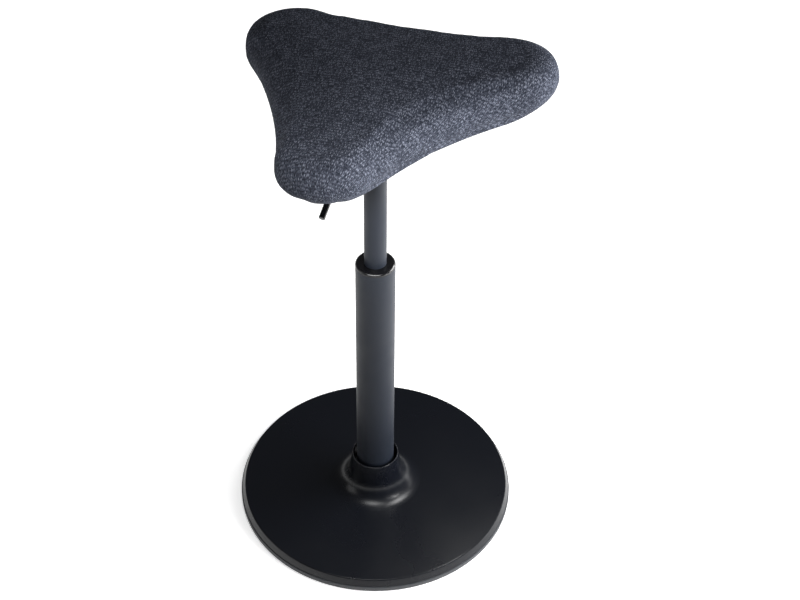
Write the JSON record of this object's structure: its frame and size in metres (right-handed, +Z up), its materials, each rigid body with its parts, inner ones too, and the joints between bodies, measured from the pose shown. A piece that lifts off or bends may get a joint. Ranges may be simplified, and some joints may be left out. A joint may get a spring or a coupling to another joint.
{
  "type": "balance stool",
  "caption": "Height-adjustable balance stool with a three-lobed padded fabric seat, a gas-lift column and a round weighted base",
  "frame": {"origin": "centre of the rubber floor face under the round base", "axes": "+X to the sitter's left, +Y towards the seat's rear lobe, so the seat's front edge faces -Y, and +Z up along the column"},
  "size_m": [0.3766, 0.3921, 0.7108],
  "materials": {
    "seat_fabric": "matte",
    "dust_felt": "matte",
    "cushion_foam": "matte",
    "plywood": "matte",
    "tube_paint": "satin",
    "carrier_paint": "satin",
    "ballast_paint": "matte",
    "housing_iron": "matte",
    "cover_plastic": "satin",
    "cap_plastic": "gloss",
    "grip_plastic": "gloss",
    "cage_plastic": "satin",
    "edge_rubber": "satin",
    "floor_rubber": "matte",
    "bush_rubber": "matte",
    "zinc_steel": "satin",
    "bearing_steel": "polished",
    "rod_chrome": "polished",
    "piston_aluminium": "satin"
  },
  "bodies": {
    "base": {"floor_pad": "floor_rubber", "base_plate": "ballast_paint", "edge_ring": "edge_rubber", "base_cover": "cover_plastic", "cover_screws": "zinc_steel", "bearing_housing": "housing_iron", "housing_bolts": "zinc_steel"},
    "tilt_bearing": {"elastomer_bearing": "bush_rubber"},
    "column": {"taper_socket": "zinc_steel", "outer_tube": "tube_paint", "guide_bush": "cap_plastic", "tube_end_plate": "zinc_steel", "lower_race": "bearing_steel", "bearing_balls": "bearing_steel", "ball_cage": "cage_plastic"},
    "gas_rod": {"piston_rod": "rod_chrome", "piston": "piston_aluminium", "piston_seal": "bush_rubber", "piston_nut": "zinc_steel", "upper_race": "bearing_steel", "bump_stop": "bush_rubber", "clip_washer": "zinc_steel", "retaining_clip": "zinc_steel"},
    "seat": {"gas_cylinder": "tube_paint", "rod_gland": "cage_plastic", "gland_seal": "bush_rubber", "valve_body": "piston_aluminium", "hub_cone": "carrier_paint", "lift_housing": "carrier_paint", "seat_plate": "carrier_paint", "plate_bolts": "zinc_steel", "lever_bracket": "carrier_paint", "pivot_pin": "zinc_steel", "seat_cover": "seat_fabric", "seat_foam": "cushion_foam", "seat_board": "plywood", "tee_nuts": "zinc_steel", "dust_cover": "dust_felt", "staples": "zinc_steel"},
    "lever": {"lever_rod": "zinc_steel", "lever_grip": "grip_plastic"},
    "valve": {"valve_button": "zinc_steel"}
  },
  "joints": [
    {"name": "lean_fore_aft", "type": "hinge", "parent": "base", "child": "tilt_bearing", "pos_m": [0, 0, 0.017], "axis": [1, 0, 0], "range_deg": [-2.5, 2.5], "stiffness_Nm_per_rad": 600, "deforming": ["elastomer_bearing"]},
    {"name": "lean_sideways", "type": "hinge", "parent": "tilt_bearing", "child": "column", "pos_m": [0, 0, 0.017], "axis": [0, 1, 0], "range_deg": [-2.5, 2.5], "stiffness_Nm_per_rad": 600},
    {"name": "seat_swivel", "type": "hinge", "parent": "column", "child": "gas_rod", "pos_m": [0, 0, 0.024], "axis": [0, 0, 1], "continuous": true},
    {"name": "seat_height", "type": "slide", "parent": "gas_rod", "child": "seat", "axis": [0, 0, 1], "range_m": [-0.145, 0.055]},
    {"name": "lever_lift", "type": "hinge", "parent": "seat", "child": "lever", "pos_m": [-0.02362, -0.01309, 0.61089], "axis": [-0.4848, 0.8746, 0], "range_deg": [0, 4.5], "stiffness_Nm_per_rad": 4, "springref_deg": -2.86},
    {"name": "valve_press", "type": "slide", "parent": "seat", "child": "valve", "axis": [0, 0, -1], "range_m": [0, 0.0022]}
  ],
  "couplings": [
    {"joint": "valve_press", "follows": "lever_lift", "m_per_rad": 0.027}
  ]
}
